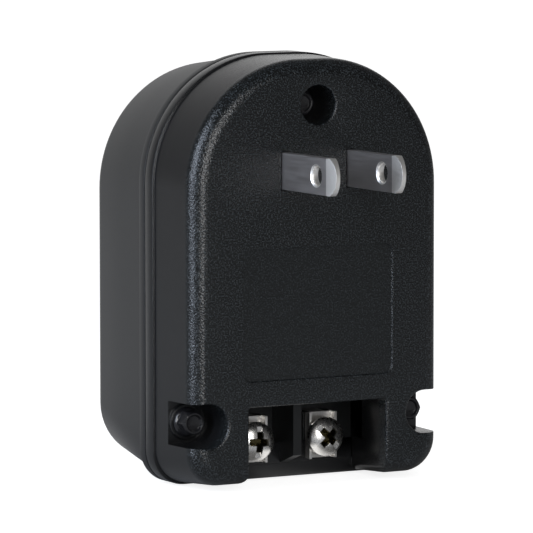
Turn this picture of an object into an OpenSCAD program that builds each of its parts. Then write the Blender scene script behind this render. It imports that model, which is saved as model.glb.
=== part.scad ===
// Plug-in AC transformer: two-shell moulded case with blades, a terminal bay and the transformer inside.
// X runs across the plug face, +Y runs into the case, +Z is up. The origin is on the plug face,
// midway between the two blades, so the blades stick out towards -Y.
// Heights in the sizes below are measured up from the feet of the front cover.

/* [Case Outline] */
// Width across the side walls just behind the rounded face edge
face_width = 47.9; // [46:0.1:49]
// Height of the front cover from its feet to its crown
face_height = 71.7; // [70:0.1:74]
// Radius of the two big upper corners
top_radius = 21.8; // [18:0.1:23]
// Radius of the two lower corners of the front cover
foot_radius = 5.8; // [4:0.1:8]
// Rounding between the plug face and the side walls
face_rounding = 2.8; // [2:0.1:3.5]
// Depth of the front cover, from the plug face to its rear edge
cover_depth = 15.8; // [15:0.1:17]
// Depth of the whole case
case_depth = 37.2; // [36:0.1:39]
// How much each side wall of the cover leans out towards its rear edge
side_draft = 0.9; // [0.3:0.1:1.2]
// How much the crown of the cover rises towards its rear edge
crown_draft = 0.4; // [0.2:0.1:1]
// How much the underside of the cover drops towards its rear edge
foot_draft = 1; // [0.4:0.1:1.4]

/* [Parting Line] */
// Gap between the front cover and the rear case
parting_gap = 0.3; // [0.1:0.05:0.4]
// Length of the slightly raised lip round the rear edge of the cover
lip_length = 2.8; // [2:0.1:3.5]
// How far the lip and the rear band stand proud of the walls
lip_raise = 0.2; // [0.1:0.05:0.4]
// Length of the full-size band at the front edge of the rear case
band_length = 1.9; // [1.5:0.1:3]
// Thickness of the locating tongue of the rear case inside the cover
tongue_thickness = 1; // [0.8:0.1:1.2]
// Length of the locating tongue
tongue_length = 2; // [1:0.1:3]

/* [Rear Case Taper] */
// How much each side narrows from the band to the back
rear_side_taper = 0.8; // [0.3:0.1:1.5]
// How much the crown drops from the band to the back
rear_crown_taper = 2.4; // [1:0.1:3]
// How much the underside rises from the band to the back
rear_foot_taper = 2; // [1:0.1:3]
// Radius of the two lower corners at the back
rear_foot_radius = 10; // [7:0.1:11]
// Rounding between the back and the side walls
back_rounding = 2.5; // [1.5:0.1:3]
// Step down from the band to the side walls of the rear case
band_step = 0.3; // [0.2:0.05:0.5]

/* [Walls] */
// Thickness of the plug face
face_wall = 2.4; // [2:0.1:2.8]
// Thickness of the side walls
side_wall = 2.2; // [1.8:0.1:2.4]
// Thickness of the back
back_wall = 2.2; // [1.8:0.1:2.4]

/* [Label Recess] */
// Width of the shallow label recess in the plug face
label_width = 29.2; // [27:0.1:31]
// Height of the label recess
label_height = 22.5; // [20:0.1:24]
// Height of the middle of the label recess above the feet
label_centre = 28.6; // [28:0.1:30]
// Depth of the label recess
label_depth = 0.3; // [0.2:0.05:0.6]
// Corner radius of the label recess
label_corner = 1.6; // [1:0.1:2.5]

/* [Blades] */
// Distance between the blade centres, a standard of the plug
blade_spacing = 12.7; // [12.7:0.1:12.7]
// Drop from the crown of the plug face to the blades
blade_drop = 18.7; // [18:0.1:19.4]
// Width of each blade
blade_width = 6.3; // [6.1:0.05:6.5]
// Thickness of each blade
blade_thickness = 1.5; // [1.4:0.05:1.65]
// How far the blades stand out of the plug face
blade_length = 17.9; // [16:0.1:18.2]
// Length of the bevel at each blade tip
blade_bevel = 2.9; // [1.5:0.1:3.5]
// Thickness left at the very tip of each blade
blade_tip = 0.7; // [0.5:0.05:1]
// Radius of the rounded end of each blade
blade_end_radius = 3.5; // [3.4:0.1:5]
// Diameter of the hole in each blade
blade_hole = 3.2; // [3:0.05:3.3]
// Distance from the plug face to the centre of the blade hole
blade_hole_reach = 11.7; // [11:0.1:12.2]
// Play between a blade and its slot, on each side
blade_play = 0.15; // [0.1:0.05:0.25]
// How far the shoulder of a blade stands out above and below it
blade_shoulder = 1; // [0.8:0.1:1.4]
// Thickness of the shoulder behind the plug face
shoulder_thickness = 1; // [0.8:0.1:1.2]
// Width of the solder tail inside the case
tail_width = 4; // [3:0.1:5]
// How far the tail reaches behind the plug face
tail_reach = 9; // [8.4:0.1:9.6]
// Thickness of the bar that locks both blades
retainer_thickness = 2.2; // [1.6:0.1:2.6]
// How far the blade retainer reaches past the middle of each blade
retainer_margin = 3.6; // [3:0.1:4]
// Diameter of the hole in the middle of the blade retainer
retainer_hole = 3.4; // [2.8:0.1:4]

/* [Case Screws] */
// Diameter of the screw hole above the blades
top_hole = 6.7; // [6.4:0.1:7]
// Drop from the crown of the plug face to that hole
top_hole_drop = 7.7; // [7.4:0.1:8]
// Distance of the lower screws from the middle plane
side_screw_offset = 21.2; // [21:0.1:21.4]
// Height of the lower screws above the feet
side_screw_height = 10.3; // [10.2:0.1:10.6]
// Radius of the open side notches round the lower screws
notch_radius = 3.75; // [3.6:0.05:3.9]
// Depth of the notch floor behind the plug face
notch_depth = 8.7; // [8.4:0.1:9]
// Diameter of the screw columns between the notch floors and the parting line
column_diameter = 6.4; // [6:0.1:6.6]
// Height of the small boss that each screw seats on
seat_height = 0.6; // [0.4:0.05:0.8]
// Diameter of that boss
seat_diameter = 6.2; // [6:0.1:6.4]
// Size across the flats of the hexagon head
hex_size = 4; // [3.8:0.1:4.4]
// Height of the hexagon head above its flange
hex_height = 3; // [2.6:0.1:3.2]
// Diameter of the flange under the head
flange_diameter = 5.5; // [5:0.1:5.8]
// Thickness of the flange
flange_thickness = 0.7; // [0.5:0.05:0.9]
// Depth of the dish in the head
dish_depth = 0.35; // [0.2:0.05:0.5]
// Diameter of the dish in the head
dish_diameter = 3; // [2.6:0.1:3.2]
// Outside diameter of the screw thread
screw_diameter = 2.9; // [2.5:0.1:3]
// Core diameter of the screw thread
screw_core = 2.2; // [1.8:0.1:2.3]
// Length of the screw under its head
screw_length = 17; // [15:0.5:20]
// Length of the tapered screw tip, and of the plain part under the head
screw_tip = 1; // [0.6:0.1:1.4]
// Distance between thread ridges
screw_pitch = 1.25; // [1:0.05:1.5]
// Play round the screw thread, on each side
screw_play = 0.05; // [0.03:0.01:0.1]
// Diameter of the screw posts in the rear case
post_diameter = 5.6; // [5:0.1:5.8]

/* [Terminal Bay] */
// Width of the open bay for the terminals
bay_width = 26.8; // [26:0.1:27.5]
// Height of the bay above the feet
bay_height = 13; // [12.8:0.1:13.2]
// Depth of the bay down to the edge of the case floor
bay_depth = 12; // [11.6:0.1:12.2]
// Thickness of the bay side walls and ceiling
bay_wall = 1.5; // [1.3:0.1:1.6]
// Depth at which the upper part of a bay side wall ends
bay_wall_depth = 8.4; // [7:0.1:10]
// Height above the feet at which a bay side wall steps back
bay_wall_step = 5; // [4:0.1:6]
// Rounding of the feet beside the bay
foot_edge = 1; // [0.6:0.1:1.3]

/* [Terminals] */
// Distance of each terminal from the middle plane
terminal_offset = 6.85; // [6.5:0.05:7]
// Width of a terminal plate
plate_width = 5.4; // [5:0.1:5.8]
// Height of a terminal plate
plate_height = 8; // [7.8:0.1:8.2]
// Thickness of the terminal sheet
plate_thickness = 0.45; // [0.4:0.05:0.6]
// How far the side ears of a plate stand forward
ear_height = 1.4; // [1.2:0.1:1.6]
// Width of the solder tail of each terminal strip
terminal_tail = 3; // [2.6:0.1:3.4]
// How far the solder tail stands out behind the terminal block
terminal_reach = 3; // [2:0.1:4]
// How far each pedestal of the block reaches past its terminal strip
pedestal_margin = 0.3; // [0.1:0.05:0.4]
// Depth of the front of a terminal plate behind the plug face
plate_depth = 11.9; // [11.8:0.1:12.4]
// Height of the terminal screws above the feet
terminal_height = 5.6; // [5.4:0.1:5.8]
// Head diameter of a terminal screw
terminal_head = 6.4; // [6:0.1:6.6]
// Height of the straight rim of a terminal screw head
head_rim = 1.3; // [1:0.1:1.6]
// Height of the domed part of a terminal screw head
head_dome = 1; // [0.6:0.1:1.2]
// Shank diameter of a terminal screw
terminal_shank = 3.3; // [3:0.1:3.5]
// Play round the shank, on each side
shank_play = 0.1; // [0.05:0.05:0.2]
// Length of a terminal screw under its head
terminal_length = 6; // [5:0.1:6.4]
// Depth of the cross and slot in a terminal screw head
slot_depth = 1.1; // [0.8:0.1:1.4]
// Width of the slot in a terminal screw head
slot_width = 0.8; // [0.7:0.05:1]
// Turn of the left screw slot away from upright
slot_turn_left = 4; // [-90:1:90]
// Turn of the right screw slot away from upright
slot_turn_right = -46; // [-90:1:90]
// Thickness of the divider between the terminals
divider_thickness = 1.6; // [1.4:0.1:2]
// Depth of the front edge of the divider behind the plug face
divider_depth = 7.4; // [6:0.1:9]
// Depth of the base slab of the terminal block behind the plug face
block_depth = 15; // [14.6:0.1:15.4]
// Thickness of that base slab
block_thickness = 2.4; // [2:0.1:2.8]

/* [Transformer Core] */
// Width of the laminations
core_width = 41; // [40:0.1:41.4]
// Width of the centre leg
centre_leg = 13; // [12:0.1:14]
// Width of each outer leg and of the yokes
outer_leg = 6.5; // [6:0.1:7]
// Drop from the middle of the blades to the top of the core
core_top_drop = 3.4; // [3.2:0.1:4]
// Height of the bottom of the core above the feet
core_bottom = 15.6; // [15.5:0.1:16.5]

/* [Windings] */
// Play between the bobbin and the core, on each side
bobbin_play = 0.15; // [0.1:0.05:0.3]
// Wall thickness of the bobbin and its flanges
bobbin_wall = 0.8; // [0.6:0.1:1]
// How far the coil stands out in front of and behind the core
coil_bulge = 6.3; // [6:0.1:6.4]
// Free space between the plug face wall and the front of the coil
coil_front_gap = 2.5; // [2.3:0.1:3]
// Free space between the back of the coil and the back wall
coil_back_gap = 1.5; // [1.4:0.1:2]
// How far the windings stay below the rim of the flanges
winding_drop = 0.8; // [0.6:0.1:1]
// Share of the bobbin height given to the primary winding
primary_share = 0.56; // [0.45:0.01:0.6]
// Thickness of the tape round each winding
tape_thickness = 0.25; // [0.15:0.05:0.3]
// Corner radius of the windings
winding_corner = 4; // [3:0.1:5]
// Thickness of the thermal cutoff
cutoff_thickness = 1.4; // [1.2:0.1:1.5]
// Width of the thermal cutoff
cutoff_width = 6; // [5:0.1:7]
// Space left above and below the thermal cutoff, between the flanges
cutoff_margin = 1.9; // [1:0.1:2.4]
// Diameter of the insulated leads
lead_diameter = 1.6; // [1.2:0.1:1.8]
// Thickness of the pads behind the core
pad_thickness = 1; // [0.6:0.1:1.4]
// Thickness of the ribs that clamp the core
rib_thickness = 2.4; // [1.6:0.1:2.8]
// Distance from the side of the core to the middle of a rib
rib_inset = 2.3; // [2:0.1:3]
// How far the ribs stay short of the top and bottom of the core
rib_margin = 4; // [3:0.1:6]
// How far a pad stands out round its rib
pad_margin = 0.6; // [0.3:0.1:1]

/* [Hidden] */
// Which piece to draw: all of them, or one name from the list above.
$fn = 64;
slice = 0.02;
bite = 1;
rear_front = cover_depth + parting_gap;
half_face = face_width / 2;
blade_height = face_height - blade_drop;
top_hole_height = face_height - top_hole_drop;
core_stack = case_depth - back_wall - face_wall - coil_front_gap - coil_back_gap - 2 * coil_bulge;
core_depth = face_wall + coil_front_gap + coil_bulge + core_stack / 2;
window_height = blade_height - core_top_drop - core_bottom - 2 * outer_leg;
rib_x = core_width / 2 - rib_inset;
rib_height = window_height + 2 * outer_leg - 2 * rib_margin;
half_rim = half_face + side_draft;
rim_top = face_height + crown_draft;
seat_depth = notch_depth - seat_height;
draft_angle = atan(foot_draft / cover_depth);
terminal_seat = plate_depth - ear_height;
pedestal_front = plate_depth + plate_thickness;
plate_bottom = terminal_height - plate_height / 2 + 0.3;
plate_top = plate_bottom + plate_height;
bay_floor = side_wall - foot_draft * bay_depth / cover_depth;
block_back = block_depth + block_thickness;
core_front = core_depth - core_stack / 2;
core_back = core_depth + core_stack / 2;
window_width = (core_width - centre_leg - 2 * outer_leg) / 2;
window_bottom = core_bottom + outer_leg;
window_top = window_bottom + window_height;
core_top = window_top + outer_leg;
bobbin_bottom = window_bottom + bobbin_play;
bobbin_top = window_top - bobbin_play;
tube_x = centre_leg / 2 + bobbin_play + bobbin_wall;
tube_y = core_stack / 2 + bobbin_play + bobbin_wall;
flange_x = centre_leg / 2 + window_width - bobbin_play;
flange_y = core_stack / 2 + coil_bulge;
winding_x = flange_x - winding_drop;
winding_y = flange_y - winding_drop;
mid_flange = bobbin_bottom + (bobbin_top - bobbin_bottom) * (1 - primary_share);
primary_bottom = mid_flange + bobbin_wall / 2;
primary_top = bobbin_top - bobbin_wall;
notch_reach = half_rim - side_screw_offset + notch_radius;
back_inside = case_depth - back_wall;
tongue_play = 0.15;
blade_x = blade_spacing / 2;
shoulder_back = face_wall + shoulder_thickness;
lead_x = blade_x + blade_thickness / 2 + lead_diameter / 2;
lead_y = (shoulder_back + retainer_thickness + tail_reach) / 2;
terminal_lead_z = plate_top + lead_diameter / 2;

// Drawing frame: moves a piece from heights above the feet to heights above the blades.
module at_blades() {
    translate([0, 0, -blade_height])
        children();
}

// Flat case outline with the two big upper corners and the two small lower ones.
module outline(half_width, top, bottom, upper, lower) {
    translate([upper - half_width, bottom])
        square([2 * (half_width - upper), top - bottom]);
    translate([-half_width, bottom + lower])
        square([2 * half_width, top - upper - bottom - lower]);
    translate([lower - half_width, bottom])
        square([2 * (half_width - lower), top - upper - bottom]);
    for (side = [-1, 1]) {
        translate([side * (half_width - upper), top - upper])
            circle(r = upper);
        translate([side * (half_width - lower), bottom + lower])
            circle(r = lower);
    }
}

// Stands a flat shape up across the case, starting at depth y.
module across(y, thickness) {
    translate([0, y + thickness, 0])
        rotate([90, 0, 0])
            linear_extrude(height = thickness)
                children();
}

// A round rod along Y.
module rod(x, y, z, length, diameter) {
    translate([x, y, z])
        rotate([-90, 0, 0])
            cylinder(d = diameter, h = length);
}

// Cover outline at depth y, shrunk by inset.
module cover_slice(y, inset) {
    share = y / cover_depth;
    across(y, slice)
        outline(half_face + side_draft * share - inset, face_height + crown_draft * share - inset,
                inset - foot_draft * share, top_radius - inset, max(foot_radius - inset, 1));
}

// Solid outside of the cover with its rounded face edge.
module cover_solid() {
    hull() {
        for (turn = [0 : 15 : 90]) {
            cover_slice(face_rounding * (1 - sin(turn)), face_rounding * (1 - cos(turn)));
        }
        cover_slice(cover_depth - slice, 0);
    }
    across(cover_depth - lip_length, lip_length)
        outline(half_rim + lip_raise, rim_top + lip_raise, -foot_draft - lip_raise,
                top_radius + lip_raise, foot_radius + lip_raise);
}

// Hollow inside of the cover.
module cover_hollow() {
    hull() {
        cover_slice(face_wall, side_wall + 1);
        cover_slice(face_wall + 2, side_wall);
        cover_slice(cover_depth + slice, side_wall);
    }
}

// Pockets round the case screws, before the holes are cut.
module screw_pockets() {
    rod(0, 0.5, top_hole_height, notch_depth + 1, top_hole + 3);
    rod(0, 0.5, top_hole_height, cover_depth - 0.5, column_diameter);
    for (side = [-1, 1]) {
        rod(side * side_screw_offset, 0.5, side_screw_height, notch_depth + 1, 2 * notch_radius + 3);
        rod(side * side_screw_offset, 0.5, side_screw_height, cover_depth - 0.5, column_diameter);
        translate([side * (side_screw_offset + notch_reach / 2) - notch_reach / 2, 0.5,
                   side_screw_height - notch_radius - 1.5])
            cube([notch_reach, notch_depth + 1, 2 * notch_radius + 3]);
    }
}

// Material round the terminal bay, before the bay is cut.
module bay_shroud() {
    half = bay_width / 2 + bay_wall;
    translate([-half, 0.5, 0.6])
        cube([2 * half, bay_wall_depth - 0.5, bay_height + bay_wall - 0.6]);
    translate([-half, 0.5, 0.6])
        cube([2 * half, bay_depth - 0.5, bay_wall_step - 0.6]);
    translate([-half, 0.5, bay_height])
        cube([2 * half, bay_depth - 0.5, bay_wall]);
}

// Everything cut out of the cover.
module cover_cuts() {
    translate([-bay_width / 2, -bite, -5])
        cube([bay_width, bay_depth + bite, bay_height + 5]);
    rod(0, -bite, top_hole_height, seat_depth + bite, top_hole);
    rod(0, 0, top_hole_height, cover_depth + bite, screw_diameter + 2 * screw_play);
    for (side = [-1, 1]) {
        difference() {
            union() {
                rod(side * side_screw_offset, -bite, side_screw_height, notch_depth + bite,
                    2 * notch_radius);
                translate([side * (side_screw_offset + notch_reach / 2) - notch_reach / 2, -bite,
                           side_screw_height - notch_radius])
                    cube([notch_reach, notch_depth + bite, 2 * notch_radius]);
            }
            rod(side * side_screw_offset, seat_depth, side_screw_height, seat_height + bite,
                seat_diameter);
        }
        rod(side * side_screw_offset, 0, side_screw_height, cover_depth + bite,
            screw_diameter + 2 * screw_play);
        foot_rounding(side);
        translate([side * blade_x - blade_thickness / 2 - blade_play, -bite,
                   blade_height - blade_width / 2 - blade_play])
            cube([blade_thickness + 2 * blade_play, face_wall + 2 * bite, blade_width + 2 * blade_play]);
    }
    label_cut();
}

// Takes the sharp lower corner off the foot beside the bay, following the draft of the underside.
module foot_rounding(side) {
    edge = side * (bay_width / 2 + foot_edge);
    rotate([-draft_angle, 0, 0])
        difference() {
            translate([edge - foot_edge - 0.05, -bite, -bite])
                cube([2 * foot_edge + 0.1, bay_depth + bite, foot_edge + bite]);
            rod(edge, -2 * bite, foot_edge, bay_depth + 3 * bite, 2 * foot_edge);
            translate([side > 0 ? edge : edge - 2 * foot_edge - bite, -2 * bite, -2 * bite])
                cube([2 * foot_edge + bite, bay_depth + 3 * bite, foot_edge + 3 * bite]);
        }
}

// Shallow rounded recess for a label; it stays bare.
module label_cut() {
    half_w = label_width / 2;
    half_h = label_height / 2;
    translate([-half_w + label_corner, -bite, label_centre - half_h])
        cube([label_width - 2 * label_corner, label_depth + bite, label_height]);
    translate([-half_w, -bite, label_centre - half_h + label_corner])
        cube([label_width, label_depth + bite, label_height - 2 * label_corner]);
    for (side = [-1, 1], level = [-1, 1]) {
        rod(side * (half_w - label_corner), -bite, label_centre + level * (half_h - label_corner),
            label_depth + bite, 2 * label_corner);
    }
}

module front_cover() {
    color("dimgray")
        at_blades()
            difference() {
                union() {
                    difference() {
                        cover_solid();
                        cover_hollow();
                    }
                    intersection() {
                        cover_solid();
                        union() {
                            screw_pockets();
                            bay_shroud();
                        }
                    }
                    for (side = [-1, 1]) {
                        translate([side * rib_x - rib_thickness / 2, 1, core_bottom + rib_margin])
                            cube([rib_thickness, core_front - 1, rib_height]);
                    }
                }
                cover_cuts();
            }
}

// Rear outline at depth y, shrunk by inset.
module rear_slice(y, inset) {
    share = (y - rear_front) / (case_depth - rear_front);
    lower = foot_radius + (rear_foot_radius - foot_radius) * share - inset;
    across(y, slice)
        outline(half_rim - band_step - rear_side_taper * share - inset,
                rim_top - band_step - rear_crown_taper * share - inset,
                band_step - foot_draft + rear_foot_taper * share + inset,
                top_radius - inset - 0.5, max(lower, 1));
}

// Solid outside of the rear case with its rounded back edge.
module rear_solid() {
    hull() {
        rear_slice(rear_front, 0);
        for (turn = [0 : 15 : 90]) {
            rear_slice(case_depth - slice - back_rounding * (1 - sin(turn)),
                       back_rounding * (1 - cos(turn)));
        }
    }
    across(rear_front, band_length)
        outline(half_rim + lip_raise, rim_top + lip_raise, -foot_draft - lip_raise,
                top_radius + lip_raise, foot_radius + lip_raise);
}

// Ring of the locating tongue inside the rear edge of the cover.
module tongue() {
    inset = side_wall + tongue_play;
    start = rear_front - parting_gap - tongue_length;
    share = start / cover_depth;
    half = half_face + side_draft * share - inset;
    top = face_height + crown_draft * share - inset;
    bottom = inset - foot_draft * share;
    across(start, tongue_length + parting_gap + bite)
        difference() {
            outline(half, top, bottom, top_radius - inset, foot_radius - inset);
            outline(half - tongue_thickness, top - tongue_thickness, bottom + tongue_thickness,
                    top_radius - inset - tongue_thickness, max(foot_radius - inset - tongue_thickness, 1));
            translate([-bay_width / 2 - bay_wall - 1, bottom - 1])
                square([bay_width + 2 * bay_wall + 2, bay_height + bay_wall + 1.5 - bottom]);
            for (side = [-1, 1]) {
                translate([side * side_screw_offset, side_screw_height])
                    circle(d = column_diameter + 4 * tongue_play);
            }
        }
}

module rear_case() {
    color("dimgray")
        at_blades()
            difference() {
                union() {
                    difference() {
                        rear_solid();
                        hull() {
                            rear_slice(rear_front - bite, side_wall);
                            rear_slice(back_inside - 2, side_wall);
                            rear_slice(back_inside, side_wall + 1);
                        }
                    }
                    tongue();
                    rod(0, rear_front, top_hole_height, back_inside + 1 - rear_front, post_diameter);
                    for (side = [-1, 1]) {
                        intersection() {
                            rear_solid();
                            rod(side * side_screw_offset, rear_front, side_screw_height,
                                back_inside + 1 - rear_front, post_diameter);
                        }
                        translate([side * rib_x - rib_thickness / 2, core_back + pad_thickness,
                                   core_bottom + rib_margin])
                            cube([rib_thickness, back_inside + 1 - core_back - pad_thickness, rib_height]);
                    }
                }
                rod(0, rear_front - bite, top_hole_height, screw_length - 4,
                    screw_diameter + 2 * screw_play);
                for (side = [-1, 1]) {
                    rod(side * side_screw_offset, rear_front - bite, side_screw_height, screw_length - 4,
                        screw_diameter + 2 * screw_play);
                }
            }
}

// Side view of a blade from its rounded end to the inside of the plug face.
module blade_profile() {
    centre = blade_end_radius - blade_length;
    translate([centre, -blade_width / 2])
        square([face_wall - centre, blade_width]);
    intersection() {
        translate([centre, 0])
            circle(r = blade_end_radius);
        translate([-blade_length, -blade_width / 2])
            square([blade_length, blade_width]);
    }
}

// One blade with its rounded, bevelled tip, its shoulder and its solder tail.
module blade(side) {
    half = blade_width / 2;
    color("gainsboro")
        at_blades()
            translate([side * blade_x, 0, blade_height])
                difference() {
                    union() {
                        intersection() {
                            rotate([90, 0, 90])
                                translate([0, 0, -blade_thickness / 2])
                                    linear_extrude(height = blade_thickness)
                                        blade_profile();
                            translate([0, 0, -half - 1])
                                linear_extrude(height = blade_width + 2)
                                    polygon([[-blade_tip / 2, -blade_length],
                                             [blade_tip / 2, -blade_length],
                                             [blade_thickness / 2, blade_bevel - blade_length],
                                             [blade_thickness / 2, face_wall],
                                             [-blade_thickness / 2, face_wall],
                                             [-blade_thickness / 2, blade_bevel - blade_length]]);
                        }
                        translate([-blade_thickness / 2, face_wall, -half - blade_shoulder])
                            cube([blade_thickness, shoulder_thickness, blade_width + 2 * blade_shoulder]);
                        translate([-blade_thickness / 2, face_wall, -tail_width / 2])
                            cube([blade_thickness, tail_reach - face_wall, tail_width]);
                    }
                    translate([-blade_thickness, -blade_hole_reach, 0])
                        rotate([0, 90, 0])
                            cylinder(d = blade_hole, h = 2 * blade_thickness);
                }
}

module blade_left() {
    blade(-1);
}

module blade_right() {
    blade(1);
}

module blade_retainer() {
    half_w = blade_x + retainer_margin;
    half_h = blade_width / 2 + blade_shoulder;
    color("ivory")
        at_blades()
            difference() {
                translate([-half_w, shoulder_back, blade_height - half_h])
                    cube([2 * half_w, retainer_thickness, 2 * half_h]);
                for (side = [-1, 1]) {
                    translate([side * blade_x - blade_thickness / 2 - 0.05, shoulder_back - bite,
                               blade_height - tail_width / 2 - 0.05])
                        cube([blade_thickness + 0.1, retainer_thickness + 2 * bite, tail_width + 0.1]);
                }
                rod(0, shoulder_back - bite, blade_height, retainer_thickness + 2 * bite, retainer_hole);
            }
}

module terminal_block() {
    half = bay_width / 2 + bay_wall;
    color("darkslategray")
        at_blades()
            difference() {
                union() {
                    translate([-half, block_depth, bay_floor + 0.3])
                        cube([2 * half, block_thickness, bay_height + bay_wall - bay_floor - 0.3]);
                    for (side = [-1, 1]) {
                        translate([side * terminal_offset - plate_width / 2 - pedestal_margin,
                                   pedestal_front, bay_floor])
                            cube([plate_width + 2 * pedestal_margin, block_depth - pedestal_front + 0.5,
                                  plate_top - bay_floor]);
                        rod(side * terminal_offset, block_back - 0.5, terminal_height, 2.1,
                            terminal_shank + 2.6);
                    }
                    translate([-divider_thickness / 2, 0, 0])
                        rotate([90, 0, 90])
                            linear_extrude(height = divider_thickness)
                                polygon([[divider_depth, 3.2], [bay_depth + 0.3, bay_floor],
                                         [block_depth + 0.5, bay_floor],
                                         [block_depth + 0.5, bay_height - 0.1],
                                         [divider_depth, bay_height - 0.1]]);
                    translate([-half, bay_depth + 0.1, bay_height])
                        cube([2 * half, block_depth - bay_depth, bay_wall]);
                }
                for (side = [-1, 1]) {
                    rod(side * terminal_offset, pedestal_front - bite, terminal_height, block_back,
                        terminal_shank + 2 * shank_play);
                    translate([side * terminal_offset - terminal_tail / 2 - 0.05, pedestal_front - bite,
                               plate_top - plate_thickness - 0.05])
                        cube([terminal_tail + 0.1, block_back, plate_thickness + 0.1]);
                }
            }
}

// Bent sheet terminal with two side ears, a screw hole and a solder tail.
module terminal_plate(side) {
    half = plate_width / 2;
    color("silver")
        at_blades()
            translate([side * terminal_offset, 0, 0])
                difference() {
                    union() {
                        translate([-half, plate_depth, plate_bottom])
                            cube([plate_width, plate_thickness, plate_height]);
                        for (edge = [-half, half - plate_thickness]) {
                            translate([edge, terminal_seat, plate_bottom])
                                cube([plate_thickness, ear_height + 0.1, plate_height]);
                        }
                        translate([-terminal_tail / 2, plate_depth, plate_top - plate_thickness])
                            cube([terminal_tail, block_back + terminal_reach - plate_depth, plate_thickness]);
                    }
                    rod(0, plate_depth - bite, terminal_height, plate_thickness + 2 * bite,
                        terminal_shank + 2 * shank_play);
                }
}

module terminal_plate_left() {
    terminal_plate(-1);
}

module terminal_plate_right() {
    terminal_plate(1);
}

// Binding screw with a rim, a domed crown and a slot crossed by a recess.
module terminal_screw(side, turn) {
    r = terminal_head / 2;
    color("silver")
        at_blades()
            translate([side * terminal_offset, terminal_seat, terminal_height])
                difference() {
                    rotate([-90, 0, 0])
                        rotate_extrude()
                            polygon([[0, -head_rim - head_dome], [r * 0.45, -head_rim - head_dome * 0.93],
                                     [r * 0.75, -head_rim - head_dome * 0.65],
                                     [r * 0.93, -head_rim - head_dome * 0.3],
                                     [r, -head_rim], [r, 0], [terminal_shank / 2, 0],
                                     [terminal_shank / 2, terminal_length - 0.4],
                                     [terminal_shank / 2 - 0.4, terminal_length], [0, terminal_length]]);
                    rotate([0, turn, 0]) {
                        translate([-slot_width / 2, -head_rim - head_dome - bite, -r - 1])
                            cube([slot_width, slot_depth * 0.75 + bite, 2 * r + 2]);
                        translate([-1.6, -head_rim - head_dome - bite, -slot_width / 2])
                            cube([3.2, slot_depth + bite, slot_width]);
                        translate([-slot_width / 2, -head_rim - head_dome - bite, -1.6])
                            cube([slot_width, slot_depth + bite, 3.2]);
                    }
                }
}

module terminal_screw_left() {
    terminal_screw(-1, slot_turn_left);
}

module terminal_screw_right() {
    terminal_screw(1, slot_turn_right);
}

// Hexagon flange screw seen from below its head; ridges stand in for the thread.
module case_screw(x, z) {
    ridges = floor((screw_length - 3 * screw_tip) / screw_pitch);
    color("black")
        at_blades()
            translate([x, seat_depth, z])
                rotate([-90, 0, 0])
                    difference() {
                        union() {
                            translate([0, 0, -flange_thickness - hex_height])
                                cylinder(d = hex_size / cos(30), h = hex_height + 0.1, $fn = 6);
                            translate([0, 0, -flange_thickness])
                                cylinder(d = flange_diameter, h = flange_thickness);
                            cylinder(d = screw_core, h = screw_length - screw_tip);
                            translate([0, 0, screw_length - screw_tip])
                                cylinder(d1 = screw_core, d2 = screw_core / 2, h = screw_tip);
                            for (i = [0 : ridges - 1]) {
                                translate([0, 0, screw_tip + i * screw_pitch])
                                    cylinder(d1 = screw_core, d2 = screw_diameter, h = screw_pitch * 0.35);
                                translate([0, 0, screw_tip + (i + 0.35) * screw_pitch])
                                    cylinder(d1 = screw_diameter, d2 = screw_core, h = screw_pitch * 0.35);
                            }
                        }
                        translate([0, 0, -flange_thickness - hex_height - bite])
                            cylinder(d = dish_diameter, h = dish_depth + bite);
                    }
}

module case_screw_top() {
    case_screw(0, top_hole_height);
}

module case_screw_left() {
    case_screw(-side_screw_offset, side_screw_height);
}

module case_screw_right() {
    case_screw(side_screw_offset, side_screw_height);
}

module core_e_stack() {
    half = core_width / 2;
    color("slategray")
        at_blades()
            difference() {
                translate([-half, core_front, core_bottom])
                    cube([core_width, core_stack, outer_leg + window_height]);
                for (side = [-1, 1]) {
                    translate([side * (centre_leg + window_width) / 2 - window_width / 2,
                               core_front - bite, window_bottom])
                        cube([window_width, core_stack + 2 * bite, window_height + bite]);
                }
            }
}

module core_i_stack() {
    color("slategray")
        at_blades()
            translate([-core_width / 2, core_front, window_top])
                cube([core_width, core_stack, outer_leg]);
}

// Flat ring-shaped block round the centre leg, from z to z + height.
module coil_ring(half_x, half_y, hole_x, hole_y, corner, z, height) {
    translate([0, core_depth, z])
        linear_extrude(height = height)
            difference() {
                union() {
                    square([2 * half_x - 2 * corner, 2 * half_y], center = true);
                    square([2 * half_x, 2 * half_y - 2 * corner], center = true);
                    for (side = [-1, 1], end = [-1, 1]) {
                        translate([side * (half_x - corner), end * (half_y - corner)])
                            circle(r = corner);
                    }
                }
                square([2 * hole_x, 2 * hole_y], center = true);
            }
}

module bobbin() {
    hole_x = tube_x - bobbin_wall;
    hole_y = tube_y - bobbin_wall;
    color("ivory")
        at_blades()
            union() {
                coil_ring(tube_x, tube_y, hole_x, hole_y, 0.5, bobbin_bottom, bobbin_top - bobbin_bottom);
                for (z = [bobbin_bottom, mid_flange - bobbin_wall / 2, bobbin_top - bobbin_wall]) {
                    coil_ring(flange_x, flange_y, hole_x, hole_y, 1, z, bobbin_wall);
                }
            }
}

// Copper winding between two flanges, with the tape that covers it left out.
module winding(bottom, top) {
    coil_ring(winding_x - tape_thickness, winding_y - tape_thickness, tube_x, tube_y, winding_corner,
              bottom, top - bottom);
}

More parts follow.
